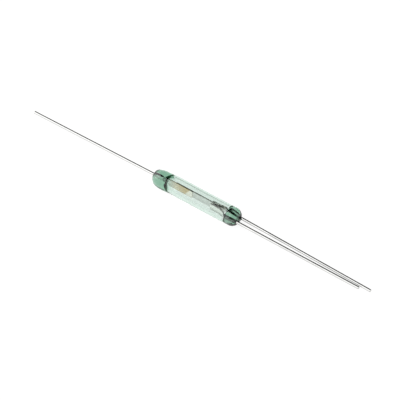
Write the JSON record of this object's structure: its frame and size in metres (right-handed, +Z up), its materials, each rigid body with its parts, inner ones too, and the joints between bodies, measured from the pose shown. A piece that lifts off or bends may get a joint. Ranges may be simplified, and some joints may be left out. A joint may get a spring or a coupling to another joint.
{
  "type": "glass reed switch",
  "caption": "Changeover dry reed switch: sealed glass capsule with a common lead at one end, normally open and normally closed leads at the other, and a spring reed between the contacts.",
  "frame": {"origin": "middle of the glass capsule, on its axis", "axes": "+X along the capsule from the common lead to the two contact leads; the blades' faces look along Y; +Z up"},
  "size_m": [0.056, 0.0026, 0.0026],
  "materials": {
    "envelope_glass": "clear pale green, fire-polished",
    "common_alloy": "bright plated nickel-iron, the paddle tinted gold",
    "reed_alloy": "rolled nickel-iron strip, satin",
    "contact_alloy": "bright plated nickel-iron",
    "pad_alloy": "non-magnetic contact metal, satin"
  },
  "bodies": {
    "capsule": {"glass_capsule": "envelope_glass", "common_lead": "common_alloy", "normally_open_lead": "contact_alloy", "normally_closed_lead": "contact_alloy", "normally_closed_pad": "pad_alloy"},
    "armature": {"armature_reed": "reed_alloy"}
  },
  "joints": [
    {"name": "reed_flex", "type": "hinge", "parent": "capsule", "child": "armature", "pos_m": [-0.00075, 0.00007, 0], "axis": [0, 0, -1], "range_deg": [0, 2.45], "stiffness_Nm_per_rad": 0.0127, "springref_deg": -0.57}
  ]
}
